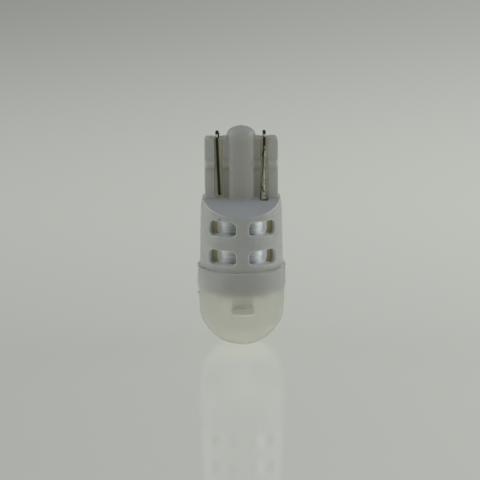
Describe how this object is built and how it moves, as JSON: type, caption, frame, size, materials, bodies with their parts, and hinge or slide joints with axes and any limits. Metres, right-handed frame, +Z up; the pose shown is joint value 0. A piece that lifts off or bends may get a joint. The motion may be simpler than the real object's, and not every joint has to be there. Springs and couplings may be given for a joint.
{
  "type": "wedge base led bulb",
  "caption": "LED bulb on a flat wedge base: white windowed housing over a turned metal core, frosted dome cap, two folded contact wires.",
  "frame": {"origin": "centre of the small flat at the tip of the frosted cap, which the bulb stands on", "axes": "+Z up the bulb from the cap to the wedge blade, +X along the blade's width, -Y towards the side where both contact wires show"},
  "size_m": [0.0116, 0.0116, 0.0292],
  "materials": {
    "white_plastic": "satin moulded, slightly translucent",
    "frosted_plastic": "frosted, light-diffusing",
    "turned_aluminium": "fine turned lines",
    "grey_pad": "matt silicone",
    "white_board": "white solder mask on aluminium",
    "green_board": "green solder mask on glass epoxy",
    "phosphor": "phosphor in silicone",
    "black_package": "matt black epoxy",
    "pale_ceramic": "matt ceramic",
    "tinned_wire": "tinned, uneven where soldered"
  },
  "bodies": {
    "root": {"dome_cap": "frosted_plastic", "housing": "white_plastic", "heat_core": "turned_aluminium", "thermal_pad": "grey_pad", "led_board": "white_board", "led_chip_1": "phosphor", "led_chip_2": "phosphor", "led_chip_3": "phosphor", "led_chip_4": "phosphor", "driver_board": "green_board", "bridge_rectifier": "black_package", "driver_chip": "black_package", "sense_resistor": "black_package", "load_resistor_1": "black_package", "load_resistor_2": "black_package", "capacitor": "pale_ceramic", "contact_wire_left": "tinned_wire", "contact_wire_right": "tinned_wire", "led_lead_positive": "tinned_wire", "led_lead_negative": "tinned_wire"}
  },
  "joints": []
}
